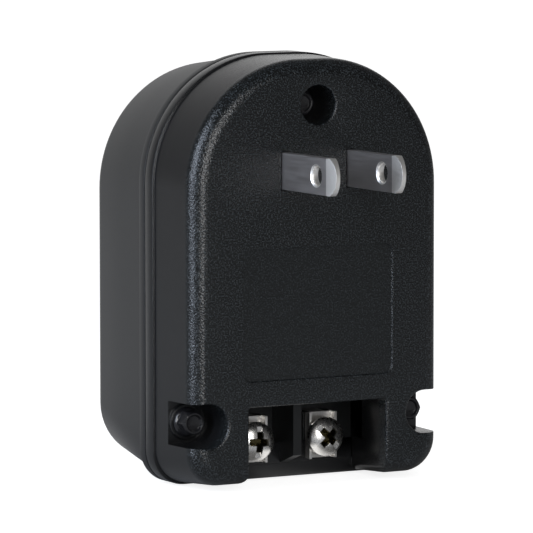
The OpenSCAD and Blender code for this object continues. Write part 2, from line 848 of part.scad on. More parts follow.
// Tape wrapped round a winding.
module tape(bottom, top) {
    difference() {
        coil_ring(winding_x, winding_y, tube_x, tube_y, winding_corner + tape_thickness,
                  bottom, top - bottom);
        translate([0, 0, -1])
            coil_ring(winding_x - tape_thickness, winding_y - tape_thickness, tube_x + 0.1, tube_y + 0.1,
                      winding_corner,
                      bottom, top - bottom + 2);
        translate([-tube_x - 0.2, core_depth - tube_y - 0.2, bottom - 1])
            cube([2 * tube_x + 0.4, 2 * tube_y + 0.4, top - bottom + 2]);
    }
}

module primary_winding() {
    color("peru")
        at_blades()
            winding(primary_bottom, primary_top);
}

module secondary_winding() {
    color("peru")
        at_blades()
            winding(bobbin_bottom + bobbin_wall, mid_flange - bobbin_wall / 2);
}

module primary_tape() {
    color("gold")
        at_blades()
            tape(primary_bottom, primary_top);
}

module secondary_tape() {
    color("gold")
        at_blades()
            tape(bobbin_bottom + bobbin_wall, mid_flange - bobbin_wall / 2);
}

module thermal_cutoff() {
    color("white")
        at_blades()
            translate([-cutoff_width / 2, core_depth + winding_y, primary_bottom + cutoff_margin])
                cube([cutoff_width, cutoff_thickness, primary_top - primary_bottom - 2 * cutoff_margin]);
}

// Lead from a blade tail down to the upper flange of the bobbin.
module primary_lead(side) {
    color("firebrick")
        at_blades()
            translate([side * lead_x, lead_y, bobbin_top])
                cylinder(d = lead_diameter, h = blade_height + 1 - bobbin_top);
}

module primary_lead_left() {
    primary_lead(-1);
}

module primary_lead_right() {
    primary_lead(1);
}

// Lead from a terminal tail back under the core and up to the lower flange of the bobbin.
module secondary_lead(side) {
    start = block_back + 0.2;
    turn_y = core_back + lead_diameter / 2 + 0.6;
    color("darkblue")
        at_blades()
            union() {
                rod(side * terminal_offset, start, terminal_lead_z, turn_y - start, lead_diameter);
                translate([side * terminal_offset, turn_y, terminal_lead_z])
                    sphere(d = lead_diameter);
                translate([side * terminal_offset, turn_y, terminal_lead_z])
                    cylinder(d = lead_diameter, h = bobbin_bottom - terminal_lead_z);
            }
}

module secondary_lead_left() {
    secondary_lead(-1);
}

module secondary_lead_right() {
    secondary_lead(1);
}

// Soft pad between the core and a rib of the rear case.
module core_pad(side) {
    color("black")
        at_blades()
            translate([side * rib_x - rib_thickness / 2 - pad_margin, core_back,
                       core_bottom + rib_margin - pad_margin])
                cube([rib_thickness + 2 * pad_margin, pad_thickness, rib_height + 2 * pad_margin]);
}

module core_pad_left() {
    core_pad(-1);
}

module core_pad_right() {
    core_pad(1);
}

front_cover();
rear_case();
blade_left();
blade_right();
blade_retainer();
terminal_block();
terminal_plate_left();
terminal_plate_right();
terminal_screw_left();
terminal_screw_right();
case_screw_top();
case_screw_left();
case_screw_right();
core_e_stack();
core_i_stack();
bobbin();
primary_winding();
secondary_winding();
primary_tape();
secondary_tape();
thermal_cutoff();
primary_lead_left();
primary_lead_right();
secondary_lead_left();
secondary_lead_right();
core_pad_left();
core_pad_right();
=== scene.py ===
# %% [markdown]
# # A plug-in AC transformer
# The object is a black moulded case in two halves, with two flat blades that plug into an outlet,
# three recessed screws that hold the halves together, and an open bay at the foot with two screw terminals.
# The engineering model gives every size and place. This script gives the visible pieces their fine form
# and finish, then sets up the floor, the light and the camera.

# %% Load the frame
import math

import bmesh
import bpy
from mathutils import Matrix, Vector


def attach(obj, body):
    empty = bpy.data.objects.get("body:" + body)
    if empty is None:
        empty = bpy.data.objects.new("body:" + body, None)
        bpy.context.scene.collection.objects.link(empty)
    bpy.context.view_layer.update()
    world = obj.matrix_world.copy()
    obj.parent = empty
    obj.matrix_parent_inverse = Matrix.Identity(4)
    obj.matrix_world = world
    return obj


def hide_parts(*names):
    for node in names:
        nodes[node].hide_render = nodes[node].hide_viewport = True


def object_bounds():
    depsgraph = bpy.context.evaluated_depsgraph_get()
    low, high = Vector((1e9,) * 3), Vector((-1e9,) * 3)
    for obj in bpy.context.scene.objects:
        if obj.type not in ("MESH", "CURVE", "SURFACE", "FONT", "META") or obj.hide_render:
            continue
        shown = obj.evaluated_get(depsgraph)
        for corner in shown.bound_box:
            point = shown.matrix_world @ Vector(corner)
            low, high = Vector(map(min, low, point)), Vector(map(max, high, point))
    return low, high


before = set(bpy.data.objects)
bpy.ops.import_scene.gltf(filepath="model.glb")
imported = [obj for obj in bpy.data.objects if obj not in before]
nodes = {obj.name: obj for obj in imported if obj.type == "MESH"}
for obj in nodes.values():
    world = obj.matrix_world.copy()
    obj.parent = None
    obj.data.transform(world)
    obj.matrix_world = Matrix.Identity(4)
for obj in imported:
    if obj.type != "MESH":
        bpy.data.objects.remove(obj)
cad_low, cad_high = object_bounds()
print("engineering model:", len(nodes), "nodes, box", [round(v, 4) for v in (*cad_low, *cad_high)])

# %% [markdown]
# Sizes are written in millimetres and heights are counted from the feet of the case, as on a drawing.
# Blender works in metres from the middle of the blades, so one helper turns the first into the second.

# %% Drawing sizes to Blender places
MM = 0.001
BLADE_HEIGHT = 53.0


def at(x, y, z):
    """A place on the drawing, with its height above the feet, as a place in the object's own frame."""
    return Vector((x, y, z - BLADE_HEIGHT))


def new_piece(name, bm, smooth_angle=35):
    """Turns a bmesh in millimetres into an object in metres that shades smoothly up to an angle."""
    bmesh.ops.recalc_face_normals(bm, faces=bm.faces)
    for face in bm.faces:
        face.smooth = len(face.verts) < 5 or face.calc_area() < 2
    bmesh.ops.triangulate(bm, faces=[f for f in bm.faces if len(f.verts) > 4])
    bmesh.ops.scale(bm, vec=(MM, MM, MM), verts=bm.verts)
    mesh = bpy.data.meshes.new(name)
    bm.to_mesh(mesh)
    bm.free()
    piece = bpy.data.objects.new(name, mesh)
    bpy.context.scene.collection.objects.link(piece)
    mesh.set_sharp_from_angle(angle=math.radians(smooth_angle))
    return piece


# %% [markdown]
# Every wall of the case is one rounded outline that changes a little from the plug face to the back.
# It could be drawn point by point. Rounding the corners of a plain four-sided face with a vertex bevel is
# shorter, and gives true arcs whose radius is the bevel's offset. Bridging the outlines then makes the skin.

# %% Rounded outlines and lofts
UPPER_STEPS = 30
LOWER_STEPS = 12


def add_outline(bm, y, half, top, bottom, upper, lower):
    """Adds one case outline at depth y and returns its face."""
    places = ((-half, bottom), (half, bottom), (half, top), (-half, top))
    corners = [bm.verts.new(at(x, y, z)) for x, z in places]
    face = bm.faces.new(corners)
    for pair, radius, steps in ((corners[2:], upper, UPPER_STEPS), (corners[:2], lower, LOWER_STEPS)):
        bmesh.ops.bevel(bm, geom=pair, offset=radius, offset_type="OFFSET", segments=steps, profile=0.5,
                        affect="VERTICES", clamp_overlap=False, material=-1)
        bm.faces.ensure_lookup_table()
        face = bm.faces[-1] if not face.is_valid else face
    return face


def loft(stations):
    """A closed solid through a row of outlines, each (y, half, top, bottom, upper, lower)."""
    bm = bmesh.new()
    loops = []
    for index, station in enumerate(stations):
        before = set(bm.faces)
        add_outline(bm, *station)
        face = next(f for f in bm.faces if f not in before)
        loops.append(list(face.edges))
        if 0 < index < len(stations) - 1:
            bmesh.ops.delete(bm, geom=[face], context="FACES_ONLY")
    for first, second in zip(loops, loops[1:]):
        bmesh.ops.bridge_loops(bm, edges=first + second)
    bmesh.ops.recalc_face_normals(bm, faces=bm.faces)
    return bm


# %% [markdown]
# Turned pieces, such as screws and round holes, are a profile spun about an axis along the depth.
# Plain blocks start from a cube. Both serve as tools that are cut out of, or added to, a body.

# %% Turned pieces, blocks and cuts
def turned(profile, x, z, steps=48):
    """Spins a profile of (radius, y) points about the line through x and z."""
    bm = bmesh.new()
    points = [bm.verts.new(at(x + radius, y, z)) for radius, y in profile]
    edges = [bm.edges.new(pair) for pair in zip(points, points[1:])]
    bmesh.ops.spin(bm, geom=points + edges, cent=at(x, 0, z), axis=(0, 1, 0), angle=math.tau, steps=steps,
                   use_merge=True)
    bmesh.ops.remove_doubles(bm, verts=bm.verts, dist=1e-4)
    bmesh.ops.recalc_face_normals(bm, faces=bm.faces)
    return bm


def rod(x, z, y0, y1, diameter, steps=48):
    """A round rod along the depth from y0 to y1."""
    return turned([(0, y0), (diameter / 2, y0), (diameter / 2, y1), (0, y1)], x, z, steps)


def block(low, high):
    """A block between two corners on the drawing."""
    bm = bmesh.new()
    bmesh.ops.create_cube(bm, size=1)
    size = [b - a for a, b in zip(low, high)]
    middle = at(*[(a + b) / 2 for a, b in zip(low, high)])
    bmesh.ops.scale(bm, vec=size, verts=bm.verts)
    bmesh.ops.translate(bm, vec=middle, verts=bm.verts)
    return bm


def combine(body, tool, operation):
    """Cuts, joins or intersects a body with a tool, both bmeshes, and returns the new bmesh."""
    first, second = [bpy.data.objects.new(word, bpy.data.meshes.new(word)) for word in ("body", "tool")]
    for holder, source in ((first, body), (second, tool)):
        source.to_mesh(holder.data)
        source.free()
        bpy.context.scene.collection.objects.link(holder)
    step = first.modifiers.new("combine", "BOOLEAN")
    step.object = second
    step.operation = operation
    step.solver = "EXACT"
    bpy.context.view_layer.update()
    result = bmesh.new()
    result.from_object(first, bpy.context.evaluated_depsgraph_get())
    for old in (first, second):
        mesh = old.data
        bpy.data.objects.remove(old)
        bpy.data.meshes.remove(mesh)
    return result


def cut(body, tool):
    return combine(body, tool, "DIFFERENCE")


def join(body, tool):
    return combine(body, tool, "UNION")


# %% [markdown]
# ## Front cover
# The cover is an injection-moulded shell. Its walls lean outwards for release from the mould, the plug face
# runs into them with a rounding, and a slightly raised lip goes round its rear edge.

# %% Cover outline
FACE_HALF, CROWN, COVER_DEPTH = 23.95, 71.7, 15.8
SIDE_DRAFT, CROWN_DRAFT, FOOT_DRAFT = 0.9, 0.4, 1.0
UPPER, LOWER = 21.8, 5.8
FACE_ROUNDING = 2.8
LIP_START, LIP_RAISE = 13.0, 0.2


def cover_station(y, inset):
    """Cover outline at depth y, drawn in by inset."""
    share = y / COVER_DEPTH
    return (y, FACE_HALF + SIDE_DRAFT * share - inset, CROWN + CROWN_DRAFT * share - inset,
            inset - FOOT_DRAFT * share, UPPER - inset, max(LOWER - inset, 0.6))


def lip_station(y, inset):
    """Outline of the raised lip and of the band that faces it, drawn in by inset."""
    return (y, FACE_HALF + SIDE_DRAFT + LIP_RAISE - inset, CROWN + CROWN_DRAFT + LIP_RAISE - inset,
            inset - FOOT_DRAFT - LIP_RAISE, UPPER + LIP_RAISE - inset, LOWER + LIP_RAISE - inset)


def rounding(start, radius, steps=9):
    """Depth and inset of each step of a quarter round that starts flat at depth start."""
    turns = [math.radians(90 * i / steps) for i in range(steps + 1)]
    return [(start + radius * (1 - math.cos(t)), radius * (1 - math.sin(t))) for t in turns]


cover_stations = [cover_station(y, inset) for y, inset in rounding(0, FACE_ROUNDING)]
cover_stations += [cover_station(3.2, 0), cover_station(8, 0), cover_station(LIP_START - 0.25, 0)]
cover_stations += [cover_station(LIP_START, 0), lip_station(LIP_START + 0.02, 0.12)]
cover_stations += [lip_station(LIP_START + 0.1, 0.03), lip_station(LIP_START + 0.22, 0)]
cover_stations += [lip_station(COVER_DEPTH - 0.3, 0), lip_station(COVER_DEPTH - 0.09, 0.03)]
cover_stations += [lip_station(COVER_DEPTH, 0.12)]
cover = loft(cover_stations)
print("cover skin:", len(cover.faces), "faces")

# %% [markdown]
# The hollow of a moulded part follows its skin at an even wall. It is lofted as a block of air from the same
# outline. Whatever has to stay solid is first cut out of that air: the walls round the bay and the columns
# that carry the screws. One cut of the skin by the air then leaves everything in place.

# %% Cover hollow with its columns and pockets
SIDE_WALL, FACE_WALL = 2.2, 2.4
BAY_HALF, BAY_TOP, BAY_DEPTH, BAY_WALL = 13.4, 13.0, 12.0, 1.5
SCREWS = {"top": (0.0, 64.0), "left": (-21.2, 10.3), "right": (21.2, 10.3)}
TOP_HOLE, NOTCH_RADIUS, NOTCH_DEPTH, SEAT_RAISE, SEAT_SIZE = 6.7, 3.75, 8.7, 0.6, 6.2
COLUMN, PILOT_HOLE = 6.4, 3.0

hollow = loft([cover_station(FACE_WALL, SIDE_WALL + 1), cover_station(FACE_WALL + 2, SIDE_WALL),
               cover_station(COVER_DEPTH + 1, SIDE_WALL)])
shroud = BAY_HALF + BAY_WALL
roof = BAY_TOP + BAY_WALL
for low, high in (((-shroud, -1, -6), (shroud, 8.4, roof)), ((-shroud, -1, -6), (shroud, BAY_DEPTH, 5)),
                  ((-shroud, -1, BAY_TOP), (shroud, BAY_DEPTH, roof))):
    hollow = cut(hollow, block(low, high))
for x, z in SCREWS.values():
    hollow = cut(hollow, rod(x, z, 0, COVER_DEPTH + 2, COLUMN))
    hollow = cut(hollow, rod(x, z, 0, NOTCH_DEPTH + 1.5, 2 * NOTCH_RADIUS + 3))
cover = cut(cover, hollow)
print("cover with its walls:", len(cover.faces), "faces")

# %% [markdown]
# The openings of a moulded part have softened mouths. Each cutting tool therefore flares out a little where
# it leaves the plug face, so the cut brings its own rounded edge and nothing has to be bevelled afterwards.

# %% Openings in the cover
MOUTH, BAY_CORNER = 0.45, 0.5
PANEL_HALF, PANEL_TOP, PANEL_FOOT = 14.5, 39.75, 17.45
PANEL_DEPTH, PANEL_CORNER, PANEL_LEAN = 0.3, 1.5, 0.12


def mouth_stations(half, top, bottom, upper, lower, depth, mouth=MOUTH):
    """Stations of a cutting tool whose mouth flares by a quarter round at the plug face."""
    rows = [(-1.0, mouth)] + rounding(0, mouth, 5) + [(depth, 0.0)]
    return [(y, half + out, top + out, bottom - out, upper + out, lower + out) for y, out in rows]


def panel_station(y, out):
    """Outline of the label recess, whose sides lean out by out."""
    corner = PANEL_CORNER + 1.25 * out
    return y, PANEL_HALF + out, PANEL_TOP + out, PANEL_FOOT - out, corner, corner


cover = cut(cover, loft(mouth_stations(BAY_HALF, BAY_TOP, -12, BAY_CORNER, BAY_CORNER, BAY_DEPTH)))
panel_rows = ((-1, PANEL_LEAN), (0, PANEL_LEAN), (PANEL_DEPTH, 0))
cover = cut(cover, loft([panel_station(y, out) for y, out in panel_rows]))
print("bay and label panel cut:", len(cover.faces), "faces")

# %% [markdown]
# The three case screws sit at the bottom of deep holes. The upper one is round. The lower two are half-round
# at the inner end and run out through the side wall, so their tool is a rounded bar that reaches past it.

# %% Screw holes and blade slots
NOTCH_REACH, TOP_MOUTH, SEAT_EDGE, SLOT_PLAY = 8.0, 0.3, 0.15, 0.15


def flared_rod(x, z, radius, depth, mouth):
    """A round cutting tool with a flared mouth."""
    rows = [(radius + inset, y) for y, inset in rounding(0, mouth, 5)]
    return turned([(0, -1), (radius + mouth, -1)] + rows + [(radius, depth), (0, depth)], x, z, 64)


def notch_tool(x, z):
    """A bar with round ends and a flared mouth that breaks out through the side wall next to x."""
    side = math.copysign(1, x)
    end = NOTCH_RADIUS - 0.01
    tool = loft(mouth_stations(NOTCH_REACH, z + NOTCH_RADIUS, z - NOTCH_RADIUS, end, end, NOTCH_DEPTH))
    shift = x - side * NOTCH_RADIUS + side * NOTCH_REACH
    bmesh.ops.translate(tool, vec=(shift, 0, 0), verts=tool.verts)
    return tool


def seat_boss(x, z):
    """The raised seat of a case screw, left standing at the bottom of its hole."""
    face, radius = NOTCH_DEPTH - SEAT_RAISE, SEAT_SIZE / 2
    rise = [(0, face), (radius - SEAT_EDGE, face), (radius, face + SEAT_EDGE)]
    return turned(rise + [(radius, NOTCH_DEPTH + 1), (0, NOTCH_DEPTH + 1)], x, z)


for name, (x, z) in SCREWS.items():
    tool = flared_rod(x, z, TOP_HOLE / 2, NOTCH_DEPTH, TOP_MOUTH) if name == "top" else notch_tool(x, z)
    cover = cut(cover, cut(tool, seat_boss(x, z)))
    cover = cut(cover, rod(x, z, 1, COVER_DEPTH + 1, PILOT_HOLE, 32))
BLADE_X, BLADE_HALF_THICK, BLADE_HALF_WIDE = 6.35, 0.75, 3.15
slot_half, slot_rise = BLADE_HALF_THICK + SLOT_PLAY, BLADE_HALF_WIDE + SLOT_PLAY
for side in (-1, 1):
    low = (side * BLADE_X - slot_half, -1, BLADE_HEIGHT - slot_rise)
    high = (side * BLADE_X + slot_half, FACE_WALL + 1, BLADE_HEIGHT + slot_rise)
    cover = cut(cover, block(low, high))
print("screw holes and blade slots cut:", len(cover.faces), "faces")

# %% [markdown]
# The two feet beside the bay have a rounded inner edge. The tool is the corner that a round rod leaves of a
# block, turned by the small angle at which the foot of the cover leans.

# %% Rounded feet beside the bay
FOOT_EDGE = 1.2
for side in (-1, 1):
    edge = side * (BAY_HALF + FOOT_EDGE)
    inner, outer = sorted((edge, edge - side * (FOOT_EDGE + 0.6)))
    corner = block((inner, -1, -1.5), (outer, BAY_DEPTH, FOOT_EDGE))
    tool = cut(corner, rod(edge, FOOT_EDGE, -2, BAY_DEPTH + 1, 2 * FOOT_EDGE, 64))
    lean = Matrix.Rotation(-math.atan(FOOT_DRAFT / COVER_DEPTH), 3, "X")
    bmesh.ops.rotate(tool, cent=at(0, 0, 0), matrix=lean, verts=tool.verts)
    cover = cut(cover, tool)
front_cover = new_piece("cover_shell", cover, 30)
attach(front_cover, "root")
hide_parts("front_cover")
print("front cover:", len(front_cover.data.polygons), "faces")

# %% [markdown]
# ## Rear case
# The rear case is the deeper cup that carries the transformer. A full-size band meets the cover, behind it
# the walls narrow towards a flat back, more at the foot and the crown than at the sides.

# %% Rear case
REAR_FRONT, CASE_DEPTH, BAND = 16.1, 37.2, 1.9
REAR_LOWER, REAR_UPPER = 10.0, UPPER - 0.5
BACK_ROUNDING, BAND_STEP = 2.5, 0.3
SIDE_NARROW, CROWN_NARROW, FOOT_NARROW = 0.8, 2.4, 2.0
REAR_COLUMN, COLUMN_HOLE_DEPTH = 5.6, 12


def rear_station(y, inset):
    """Rear case outline at depth y, drawn in by inset."""
    share = (y - REAR_FRONT) / (CASE_DEPTH - REAR_FRONT)
    return (y, FACE_HALF + SIDE_DRAFT - BAND_STEP - SIDE_NARROW * share - inset,
            CROWN + CROWN_DRAFT - BAND_STEP - CROWN_NARROW * share - inset,
            BAND_STEP - FOOT_DRAFT + FOOT_NARROW * share + inset, REAR_UPPER - inset,
            max(LOWER + (REAR_LOWER - LOWER) * share - inset, 0.8))


band_end = REAR_FRONT + BAND
rear_stations = [lip_station(REAR_FRONT, 0.12), lip_station(REAR_FRONT + 0.09, 0.03)]
rear_stations += [lip_station(REAR_FRONT + 0.3, 0), lip_station(band_end - 0.25, 0)]
rear_stations += [lip_station(band_end - 0.08, 0.04), lip_station(band_end, 0.14)]
rear_stations += [rear_station(y, 0) for y in (band_end + 0.03, band_end + 0.4, 26)]
rear_stations += [rear_station(CASE_DEPTH - y, inset) for y, inset in reversed(rounding(0, BACK_ROUNDING))]
rear = loft(rear_stations)
inside = loft([rear_station(REAR_FRONT - 1, SIDE_WALL), rear_station(CASE_DEPTH - 4.2, SIDE_WALL),
               rear_station(CASE_DEPTH - 2.2, SIDE_WALL + 1)])
for x, z in SCREWS.values():
    inside = cut(inside, rod(x, z, REAR_FRONT - 2, CASE_DEPTH, REAR_COLUMN))
rear = cut(rear, inside)
for x, z in SCREWS.values():
    rear = cut(rear, rod(x, z, REAR_FRONT - 2, REAR_FRONT + COLUMN_HOLE_DEPTH, PILOT_HOLE, 32))
rear_case = new_piece("rear_shell", rear, 30)
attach(rear_case, "root")
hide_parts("rear_case")
print("rear case:", len(rear_case.data.polygons), "faces")

# %% [markdown]
# ## Blades
# A blade is stamped from plated strip: rounded at the end, bevelled on both sides so that it finds the slot,
# and pierced by a hole whose rim is pressed to a bright coined ring.

# %% Blade shape
BLADE_LENGTH, BLADE_BEVEL, BLADE_TIP, END_RADIUS = 17.9, 2.9, 0.7, 3.5
HOLE_REACH, HOLE_RADIUS = 11.7, 1.6


RIM = 0.38
RIM_PROFILE = ((RIM, -0.01), (0.2, 0.1), (0.06, 0.22), (0, 0.4))


def blade_outline(x):
    """The outline of a blade seen from the side: a long bar whose end is part of a disc."""
    disc = bmesh.new()
    bmesh.ops.create_cone(disc, cap_ends=True, segments=128, radius1=END_RADIUS, radius2=END_RADIUS, depth=4)
    bmesh.ops.rotate(disc, cent=(0, 0, 0), matrix=Matrix.Rotation(math.radians(90), 3, "Y"), verts=disc.verts)
    bmesh.ops.translate(disc, vec=at(x, END_RADIUS - BLADE_LENGTH, BLADE_HEIGHT), verts=disc.verts)
    low = (x - 2, END_RADIUS - BLADE_LENGTH, BLADE_HEIGHT - 5)
    return join(disc, block(low, (x + 2, 5, BLADE_HEIGHT + 5)))


def bevel_tip(strip, x):
    """Slices both faces of the tip to the bevel, with a bisecting plane for each."""
    for face_side in (-1, 1):
        start = at(x + face_side * BLADE_HALF_THICK, BLADE_BEVEL - BLADE_LENGTH, BLADE_HEIGHT)
        end = at(x + face_side * BLADE_TIP / 2, -BLADE_LENGTH, BLADE_HEIGHT)
        normal = Vector(((start - end).y, -(start - end).x, 0)).normalized()
        if normal.x * face_side < 0:
            normal.negate()
        result = bmesh.ops.bisect_plane(strip, geom=strip.verts[:] + strip.edges[:] + strip.faces[:],
                                        plane_co=start, plane_no=normal, clear_outer=True)
        cut_edges = [e for e in result["geom_cut"] if isinstance(e, bmesh.types.BMEdge)]
        bmesh.ops.holes_fill(strip, edges=cut_edges)


def punch_tool(x):
    """The punch of the blade hole: a pin across the blade that widens to a rim at both faces."""
    thick = BLADE_HALF_THICK
    near = [(HOLE_RADIUS + out, -thick + sunk) for out, sunk in RIM_PROFILE]
    far = [(radius, -depth) for radius, depth in reversed(near)]
    outer = HOLE_RADIUS + RIM
    profile = [(0, -thick - 1), (outer, -thick - 1)] + near + far + [(outer, thick + 1), (0, thick + 1)]
    punch = bmesh.new()
    points = [punch.verts.new(Vector((depth, 0, radius))) for radius, depth in profile]
    edges = [punch.edges.new(pair) for pair in zip(points, points[1:])]
    bmesh.ops.spin(punch, geom=points + edges, cent=(0, 0, 0), axis=(1, 0, 0), angle=math.tau, steps=48,
                   use_merge=True)
    bmesh.ops.remove_doubles(punch, verts=punch.verts, dist=1e-4)
    bmesh.ops.recalc_face_normals(punch, faces=punch.faces)
    bmesh.ops.translate(punch, vec=at(x, -HOLE_REACH, BLADE_HEIGHT), verts=punch.verts)
    return punch


# %% Blades
EDGE_BREAK, TAIL_HALF, TAIL_END, SHOULDER = 0.14, 2, 9, 1


def make_blade(side):
    """One blade with its rounded bevelled end, coined hole, shoulder and solder tail."""
    x = side * BLADE_X
    left, right = x - BLADE_HALF_THICK, x + BLADE_HALF_THICK
    strip = block((left, -BLADE_LENGTH, BLADE_HEIGHT - BLADE_HALF_WIDE),
                  (right, FACE_WALL, BLADE_HEIGHT + BLADE_HALF_WIDE))
    long_edges = [e for e in strip.edges if abs((e.verts[0].co - e.verts[1].co).y) > 10]
    bmesh.ops.bevel(strip, geom=long_edges, offset=EDGE_BREAK, segments=3, profile=0.5, affect="EDGES",
                    material=-1)
    strip = combine(strip, blade_outline(x), "INTERSECT")
    bevel_tip(strip, x)
    strip = cut(strip, punch_tool(x))
    wide = BLADE_HALF_WIDE + SHOULDER
    strip = join(strip, block((left, FACE_WALL - 0.01, BLADE_HEIGHT - wide),
                              (right, FACE_WALL + SHOULDER, BLADE_HEIGHT + wide)))
    return join(strip, block((left, FACE_WALL, BLADE_HEIGHT - TAIL_HALF),
                             (right, TAIL_END, BLADE_HEIGHT + TAIL_HALF)))


blades = []
for side, word in ((-1, "left"), (1, "right")):
    piece = new_piece(f"blade_{word}_plated", make_blade(side), 20)
    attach(piece, "root")
    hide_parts(f"blade_{word}")
    blades.append(piece)
print("blades:", [len(b.data.polygons) for b in blades], "faces")

# %% [markdown]
# ## Terminals
# Each terminal is a strip bent up into two ears, held by a binding screw with a domed head.
# The head takes a flat or a cross-point driver: one long slot, crossed by a shorter tapered recess.

# %% Terminal strips
TERMINAL_X, TERMINAL_Z, SCREW_Z = 6.85, 5.6, 5.75
PLATE_FRONT, SHEET, EAR, PLATE_HALF, PLATE_LOW, PLATE_HIGH = 11.9, 0.45, 1.4, 2.7, 1.9, 9.9
PLATE_HOLE, FOLD, STRIP_TAIL_HALF, STRIP_TAIL_END = 3.5, 0.4, 1.5, 20.4


def make_strip(side):
    """A bent sheet terminal: a base with two forward ears, rounded where the sheet is folded."""
    x = side * TERMINAL_X
    body = block((x - PLATE_HALF, PLATE_FRONT - EAR, PLATE_LOW),
                 (x + PLATE_HALF, PLATE_FRONT + SHEET, PLATE_HIGH))
    folds = [e for e in body.edges if abs((e.verts[0].co - e.verts[1].co).z) > 4
             and e.verts[0].co.y > PLATE_FRONT]
    bmesh.ops.bevel(body, geom=folds, offset=FOLD, segments=6, profile=0.5, affect="EDGES", material=-1)
    body = cut(body, block((x - PLATE_HALF + SHEET, PLATE_FRONT - EAR - 1, PLATE_LOW - 1),
                           (x + PLATE_HALF - SHEET, PLATE_FRONT, PLATE_HIGH + 1)))
    body = cut(body, rod(x, TERMINAL_Z, PLATE_FRONT - 3, PLATE_FRONT + 3, PLATE_HOLE, 32))
    return join(body, block((x - STRIP_TAIL_HALF, PLATE_FRONT + 0.2, PLATE_HIGH - SHEET),
                            (x + STRIP_TAIL_HALF, STRIP_TAIL_END, PLATE_HIGH)))


# %% [markdown]
# A binding screw is a turned head and shank. The slot and the two arms of the cross are three blocks, the
# arms narrower at the bottom, turned together to the angle at which the screw happens to stand, and cut out.

# %% Binding screws
HEAD = ((0, -2.45), (0.7, -2.41), (1.4, -2.28), (2.0, -2.08), (2.6, -1.78), (3.05, -1.45), (3.28, -1.2),
        (3.38, -1.0), (3.4, -0.8), (3.4, -0.35), (3.3, -0.2))
HEAD_HEIGHT, SHANK, SHANK_LENGTH, SHANK_TIP = 2.45, 1.65, 5.6, 0.4
SLOT_WIDTH, ARM_WIDTH, ARM_SPAN, ARM_TAPER = 1.05, 1.45, 4.6, 0.5


def taper_block(x, z, width, height, y0, y1, shrink):
    """A block along the depth whose far end is drawn in by shrink."""
    bm = block((x - width / 2, y0, z - height / 2), (x + width / 2, y1, z + height / 2))
    far = [v for v in bm.verts if v.co.y > (y0 + y1) / 2]
    centre = at(x, y1, z)
    bmesh.ops.scale(bm, vec=(shrink, 1, shrink), space=Matrix.Translation(-centre), verts=far)
    return bm


def make_binding_screw(side, turn):
    """A domed binding screw with its slot and cross recess."""
    x, z = side * TERMINAL_X, SCREW_Z
    seat = PLATE_FRONT - EAR
    shank = [(SHANK, -0.2), (SHANK, SHANK_LENGTH), (SHANK - SHANK_TIP, SHANK_LENGTH + SHANK_TIP),
             (0, SHANK_LENGTH + SHANK_TIP)]
    screw = turned([(radius, seat + y) for radius, y in list(HEAD) + shank], x, z, 72)
    arm = (seat - HEAD_HEIGHT - 0.45, seat - 0.3, ARM_TAPER)
    tools = [taper_block(x, z, SLOT_WIDTH, 9, seat - 4, seat - 1.7, 1.0),
             taper_block(x, z, ARM_SPAN, ARM_WIDTH, *arm), taper_block(x, z, ARM_WIDTH, ARM_SPAN, *arm)]
    stand = Matrix.Rotation(math.radians(turn), 3, "Y")
    for tool in tools:
        bmesh.ops.rotate(tool, cent=at(x, 0, z), matrix=stand, verts=tool.verts)
        screw = cut(screw, tool)
    return screw


for side, word, turn in ((-1, "left", 4), (1, "right", -46)):
    strip = new_piece(f"terminal_strip_{word}", make_strip(side), 30)
    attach(strip, "root")
    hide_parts(f"terminal_plate_{word}")
    screw = new_piece(f"binding_screw_{word}", make_binding_screw(side, turn), 30)
    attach(screw, "root")
    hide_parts(f"terminal_screw_{word}")
print("terminals made")

# %% [markdown]
# ## Case screws
# The case is closed by hexagon screws with a flange and a dished head, sunk deep so that only a nut driver
# reaches them. The hexagon is a six-sided cone with its rim bevelled, the rest is turned.

# %% Case screws
ACROSS_FLATS, HEXAGON_HEIGHT, FLANGE_HEIGHT = 3.9, 2.2, 0.7
FLANGE = ((2.0, -0.71), (2.35, -0.58), (2.5, -0.35), (2.55, -0.1), (2.5, 0))
THREAD_CORE, THREAD_CREST, PITCH, RIDGES, THREAD_LENGTH = 1.1, 1.45, 1.25, 11, 17
RIDGE = ((THREAD_CORE, 0), (THREAD_CREST, 0.4), (THREAD_CREST, 0.48), (THREAD_CORE, 0.88))


def make_hexagon(x, z, seat):
    """The hexagon of a case screw, its rim bevelled by a turned shape and its top dished."""
    top = seat - FLANGE_HEIGHT - HEXAGON_HEIGHT
    middle = top + HEXAGON_HEIGHT / 2 + 0.05
    radius = ACROSS_FLATS / 2 / math.cos(math.radians(30))
    hexagon = bmesh.new()
    bmesh.ops.create_cone(hexagon, cap_ends=True, segments=6, radius1=radius, radius2=radius,
                          depth=HEXAGON_HEIGHT + 0.1)
    for angle, axis in ((90, "X"), (30, "Y")):
        bmesh.ops.rotate(hexagon, cent=(0, 0, 0), matrix=Matrix.Rotation(math.radians(angle), 3, axis),
                         verts=hexagon.verts)
    bmesh.ops.translate(hexagon, vec=at(x, middle, z), verts=hexagon.verts)
    rim = [(0, top), (1.75, top), (1.95, top + 0.12), (2.4, top + 0.5), (2.4, seat), (0, seat)]
    dish = [(0, top - 1), (1.55, top - 1), (1.5, top), (1.2, top + 0.32), (0.6, top + 0.42), (0, top + 0.44)]
    return cut(combine(hexagon, turned(rim, x, z, 64), "INTERSECT"), turned(dish, x, z, 48))


